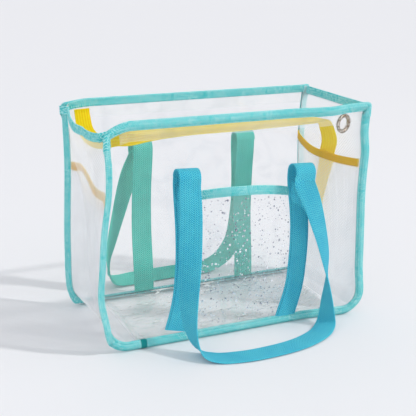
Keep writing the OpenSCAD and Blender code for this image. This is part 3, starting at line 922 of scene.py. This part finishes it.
def leaning(foot_x, lean, side):
    """Turns points of a sewn-on piece (across, depth, height over its foot) to the bag's own frame."""
    def place(u, depth, v):
        u, depth, v = np.broadcast_arrays(np.asarray(u, float), depth, v)
        bow = curve_through(np.clip(v, 0, LEG_TOP), LEG_BOW) if side < 0 else 0
        return np.stack([foot_x + u * math.cos(lean) + v * math.sin(lean) + bow, side * depth,
                         FOOT_Z - u * math.sin(lean) + v * math.cos(lean)], -1)
    return place


def make_handle(name, foot_x, lean, side, route, webbing, thread, slot):
    place = leaning(foot_x, lean, side)
    across = np.array([math.cos(lean), 0, -math.sin(lean)])
    face = FRONT + WEBBING_T / 2
    hinge = FRONT + WEBBING_T / 2 + BEND_R
    strand = hinge + BEND_R
    body = name + "_handle"
    rise = np.linspace(-0.0005, LEG_TOP, 50)
    arc = np.linspace(math.pi, 0, 15)
    for end, word in ((-1, "left"), (1, "right")):
        u = end * LEG_SPACING / 2
        line = place(u, face, rise)
        leg = sweep(f"{name}_handle_{word}_leg", line, np.tile(across, (len(line), 1)), WEBBING, WEBBING_T,
                    shape=soften)
        settle(leg, webbing, slot, "bag", f"{name}_handle_{word}_leg")
        line = place(u, hinge + BEND_R * np.cos(arc), LEG_TOP + BEND_R * np.sin(arc))
        loose = (1 + np.cos(arc[::-1])) / 2
        leg_shift = soften(line[:1]) - line[:1]
        line = line + leg_shift * loose[:, None]
        bend = sweep(f"{name}_handle_{word}_bend", line, np.tile(across, (len(line), 1)), WEBBING, WEBBING_T,
                     start=LEG_TOP)
        settle(bend, webbing, slot, None, f"{name}_handle_bends")
        tuple(line[0])
        tuple(line[-1])
        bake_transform(bend)
    rows = [(place(-LEG_SPACING / 2, strand, LEG_TOP - d), across * -side) for d in (0, 0.004, 0.012)]
    rows += [(np.array(p), np.array(d, float)) for p, d in route]
    rows += [(place(LEG_SPACING / 2, strand, LEG_TOP - d), across * side) for d in (0.012, 0.004, 0)]
    line = smoothed([r[0] for r in rows], 7)
    turn = smoothed([r[1] for r in rows], 7)
    loop = sweep(f"{name}_handle_loop", line, turn, WEBBING, WEBBING_T, start=LEG_TOP + math.pi * BEND_R)
    settle(loop, webbing, slot, body, f"{name}_handle_loop")

    boxes = []
    half = WEBBING / 2 - 0.003
    for end in (-1, 1):
        u, v = end * LEG_SPACING / 2, LEG_TOP - WEBBING / 2 - 0.004
        corners = [(-half, -half), (half, -half), (half, half), (-half, half), (-half, -half)]
        pairs = list(zip(corners[:-1], corners[1:])) + [(corners[0], corners[2]), (corners[1], corners[3])]
        for (u0, v0), (u1, v1) in pairs:
            t = np.linspace(0, 1, 12)
            boxes.append(place(u + u0 + (u1 - u0) * t, FRONT + WEBBING_T + 0.0001, v + v0 + (v1 - v0) * t))
        for edge in (-1, 1):
            t = np.linspace(0.002, v - half - 0.001, 40)
            boxes.append(place(u + edge * (WEBBING / 2 - 0.002), FRONT + WEBBING_T + 0.0001, t))
    settle(stitching(f"{name}_handle_stitching", [soften(b) for b in boxes]), thread,
           slot.split("_")[0] + "_thread", "bag", f"{name}_handle_stitching")


def pocket_surface(u, v, lift=0.0):
    """The front pocket's film, which stands out further towards its open top."""
    open_up = 0.25 + 0.75 * smooth(v / 0.12)
    v = v + 0.006 * (1 - (u / POCKET_HALF) ** 2) * smooth(v / POCKET_TOP) ** 2
    bulge = 0.008 * (1 - (u / POCKET_HALF) ** 2) * open_up
    return leaning(FRONT_FOOT_X, FRONT_LEAN, -1)(u, FRONT + 0.0006 + bulge + lift, v)


def make_front_pocket(film, tape, thread):
    u, v = np.meshgrid(np.linspace(-POCKET_HALF - 0.002, POCKET_HALF + 0.002, 40),
                       np.linspace(-0.003, POCKET_TOP - EDGE_GAP, 46))
    sheet = settle(shell("front_pocket_film", pocket_surface(u, v), SHEET * 0.8), film, "glitter_film", "bag",
                   "front_pocket")
    a, b = folded_profile(*THIN_FOLD)
    u = np.linspace(-POCKET_HALF - 0.001, POCKET_HALF + 0.001, 40)
    grid = pocket_surface(u[:, None], POCKET_TOP - a[None, :], b[None, :])
    settle(shell("front_pocket_tape", grid, TAPE), tape, "turquoise_tape", "bag", "front_pocket_binding")
    line = pocket_surface(u, POCKET_TOP - RIM_TAPE + STITCH_INSET, 0.0013)
    settle(stitching("front_pocket_stitching", [soften(resampled(line))]), thread, "turquoise_tape")


def make_glitter(material):
    """Foil dots and small stars set in the pocket's film, at seeded random places."""
    rng = np.random.default_rng(7)
    points, faces, tones = [], [], []
    for i in range(720):
        u = rng.uniform(-POCKET_HALF + 0.002, POCKET_HALF - 0.002)
        v = rng.uniform(0.004, POCKET_TOP - RIM_TAPE - 0.002)
        star = rng.random() < 0.2
        size = rng.uniform(0.0012, 0.0018) if star else rng.uniform(0.0004, 0.00075)
        spikes = 5 if star else 4
        spin, tone = rng.uniform(0, 2 * math.pi), rng.choice([0.1, 0.3, 0.5, 0.8, 1.0, 1.0])
        angles = spin + np.arange(2 * spikes) * math.pi / spikes
        reach = size * np.where(np.arange(2 * spikes) % 2, 0.42 if star else 0.95, 1.0)
        fu, fv = u + reach * np.cos(angles), v + reach * np.sin(angles)
        base = len(points)
        for lift in (0.0007, 0.00045):
            points += list(pocket_surface(fu, fv, lift))
            points += list(pocket_surface(np.array([u]), np.array([v]), lift))
        n = 2 * spikes
        for k in range(n):
            m = (k + 1) % n
            faces.append((base + k, base + m, base + n))
            faces.append((base + n + 1 + m, base + n + 1 + k, base + 2 * n + 1))
            faces.append((base + m, base + k, base + n + 1 + k, base + n + 1 + m))
        tones += [tone] * (2 * n + 2)
    piece = new_object("front_pocket_glitter", soften(np.array(points)), faces)
    piece.data.attributes.new("flake_tone", "FLOAT", "POINT").data.foreach_set("value", tones)
    settle(piece, material, "glitter_film")


LEFT_LIP = [(-0.067, 0.172), (-0.05, 0.170), (-0.02, 0.166), (0, 0.167), (0.015, 0.171), (0.031, 0.181),
            (0.045, 0.185), (0.067, 0.184)]
RIGHT_LIP = [(-0.067, 0.190), (-0.045, 0.190), (-0.026, 0.1915), (0, 0.1935), (0.020, 0.1955),
             (0.041, 0.1965), (0.067, 0.197)]


def side_pocket_line(y, side):
    """How far an inner pocket stands off the side wall; the left one has been pulled nearly flat."""
    return (0.024 if side > 0 else 0.009) * (1 - (y / INNER_TAPE) ** 2)


def side_pocket_lip(y, side):
    """Height of an inner pocket's top edge; the left one sags towards the front."""
    return curve_through(y, LEFT_LIP if side < 0 else RIGHT_LIP)


def pocket_shape(side):
    """An inner pocket is pushed in where its side wall is, and stays inside it."""
    def shape(points):
        wall = np.array(points, float)
        wall[..., 0] = side * WALL_X
        pushed = (slack_side(wall, side) - wall)[..., 0]
        moved = np.array(points, float)
        moved[..., 0] += pushed
        return soften(moved)
    return shape


def make_side_pockets(mesh, tape, thread):
    for side, name in ((-1, "left"), (1, "right")):
        y = np.linspace(-INNER_TAPE + 0.0005, INNER_TAPE - 0.0005, 44)
        lip = side_pocket_lip(y, side)
        t = np.linspace(0, 1, 36)
        bottom = 0.0125
        z = bottom + (lip[None, :] - EDGE_GAP - bottom) * t[:, None]
        off = side_pocket_line(y, side)[None, :] * smooth((z - bottom) / 0.05)
        wall = WALL_X - POCKET_GAP - corner_inset(z)
        grid = np.stack([side * (wall - off), np.broadcast_to(y, z.shape), z], -1)
        shape = pocket_shape(side)
        sheet = settle(shell(name + "_inner_pocket", grid, MESH_T, shape=shape), mesh, "mesh", "bag",
                       name + "_mesh_pocket")
        a, b = folded_profile(*THIN_FOLD)
        x = side * (WALL_X - POCKET_GAP - side_pocket_line(y, side)[:, None] + b[None, :])
        grid = np.stack(np.broadcast_arrays(x, y[:, None], lip[:, None] - a[None, :]), -1)
        settle(shell(name + "_inner_pocket_tape", grid, TAPE, shape=shape), tape, "yellow_tape", "bag",
               name + "_pocket_binding")
        x = side * (WALL_X - 0.0021 - side_pocket_line(y, side))
        line = np.stack([x, y, lip - RIM_TAPE + STITCH_INSET], -1)
        settle(stitching(name + "_inner_pocket_stitching", [shape(resampled(line))]), thread,
               "yellow_tape")


# ------------ eyelet and strap
def revolve(name, profile, count=48):
    """A ring about the eyelet's axis, from a closed outline of (radius, depth)."""
    profile = np.array(profile)
    ring = len(profile)
    angles = np.linspace(0, 2 * math.pi, count, endpoint=False)
    points = [(EYELET_X + r * math.cos(a), -d, EYELET_Z + r * math.sin(a))
              for a in angles for r, d in profile]
    faces = [(i * ring + j, i * ring + (j + 1) % ring, (i + 1) % count * ring + (j + 1) % ring,
              (i + 1) % count * ring + j) for i in range(count) for j in range(ring)]
    return new_object(name, soften(points), [f[::-1] for f in faces])


def make_eyelet(metal):
    bore = 0.007
    outer = (eyelet_high.x - eyelet_low.x) / 2
    crown = np.linspace(0, math.pi, 11)
    middle, half = (bore + outer) / 2, (outer - bore) / 2
    face = [(middle + half * math.cos(a), FRONT + 0.0001 + 0.0017 * math.sin(a) ** 0.8) for a in crown]
    barrel = [(bore, INNER_TAPE - 0.0006), (bore + 0.0008, INNER_TAPE - 0.0006), (bore + 0.0008, FRONT)]
    settle(revolve("eyelet_ring", face + barrel), metal, "aged_metal", "bag", "eyelet")
    rolled = [(bore + 0.0019 + 0.0016 * math.cos(a), FRONT - 2 * SHEET - 0.0009 * math.sin(a)) for a in crown]
    settle(revolve("eyelet_back_washer", rolled[::-1]), metal, "aged_metal", "bag", "eyelet_washer")


def make_strap(ribbed):
    line = smoothed([r[0] for r in STRAP_ROUTE], 6)
    turn = smoothed([r[1] for r in STRAP_ROUTE], 6)
    strap = sweep("long_strap", line, turn, STRAP_WIDTH, STRAP_T)
    settle(strap, ribbed, "yellow_webbing", "bag", "stowed_strap")


# ------------ the bag
make_camera()
make_studio()

# Distance between ribs and between threads of each weave.
TAPE_WEAVE, WEBBING_WEAVE, THREAD_WEAVE = (0.0028, 0.0026), (0.0026, 0.0024), (0.0006, 0.0005)
clear_film = film_material("clear_vinyl", 0.011, (0.90, 0.94, 0.95))
floor_film = film_material("floor_vinyl", 0.09, (0.97, 1.0, 1.0), crease_highlight_share=0.8, reflection_patch_tint=(0.99, 0.995, 0.995))
facing_film = film_material("milky_vinyl", 0.14, (0.93, 0.95, 0.95))
pocket_film = film_material("pocket_vinyl", 0.03, (0.88, 0.91, 0.95))
white_mesh = mesh_material("white_mesh", 0.0038, 0.60)
turquoise = woven_material("turquoise_tape", (0.53, 1.0, 1.0), (0.03, 0.68, 0.70), *TAPE_WEAVE, melange=1.4,
                           grain=430, spread=0.15)
turquoise_painted_shadow = woven_material("turquoise_tape_painted_shadow", (0.02, 0.46, 0.45), (0.0, 0.25, 0.27), *TAPE_WEAVE)
yellow_tape = woven_material("yellow_tape", (1.0, 0.88, 0.04), (1.0, 0.70, 0.0), *TAPE_WEAVE, through=0.6)
blue_webbing, mint_webbing = (
    woven_material(name, light, dark, *WEBBING_WEAVE, relief=0.001, through=through, spread=0.2)
    for name, light, dark, through in (("blue_webbing", (0.15, 0.88, 1.0), (0.010, 0.47, 0.78), 0.05),
                                       ("mint_webbing", (0.20, 1.0, 0.86), (0.05, 0.70, 0.56), 0.1)))
yellow_strap = ribbed_material("yellow_strap", (1.0, 0.89, 0.02), (0.96, 0.70, 0.004), 0.0030)
turquoise_thread, yellow_thread, blue_thread, mint_thread = (
    woven_material(colour + "_thread", light, dark, *THREAD_WEAVE)
    for colour, light, dark in (("turquoise", (0.20, 0.66, 0.64), (0.12, 0.5, 0.5)),
                                ("yellow", (0.80, 0.55, 0.05), (0.6, 0.4, 0.03)),
                                ("blue", (0.03, 0.36, 0.55), (0.01, 0.24, 0.40)),
                                ("mint", (0.05, 0.40, 0.30), (0.02, 0.28, 0.2))))
nickel = metal_material("aged_nickel", (0.74, 0.69, 0.62), (0.20, 0.13, 0.08))
foil = glitter_material("foil_flakes")

make_films(clear_film, facing_film)
make_floor_film(floor_film)
make_side_walls(white_mesh)
make_tapes(turquoise, turquoise_painted_shadow, turquoise_thread)
make_front_pocket(pocket_film, turquoise, turquoise_thread)
make_glitter(foil)
make_side_pockets(white_mesh, yellow_tape, yellow_thread)
make_handle("front", FRONT_FOOT_X, FRONT_LEAN, -1, FRONT_ROUTE, blue_webbing, blue_thread, "blue_webbing")
make_handle("back", BACK_FOOT_X, 0.0, 1, BACK_ROUTE, mint_webbing, mint_thread, "mint_webbing")
make_eyelet(nickel)
make_strap(yellow_strap)
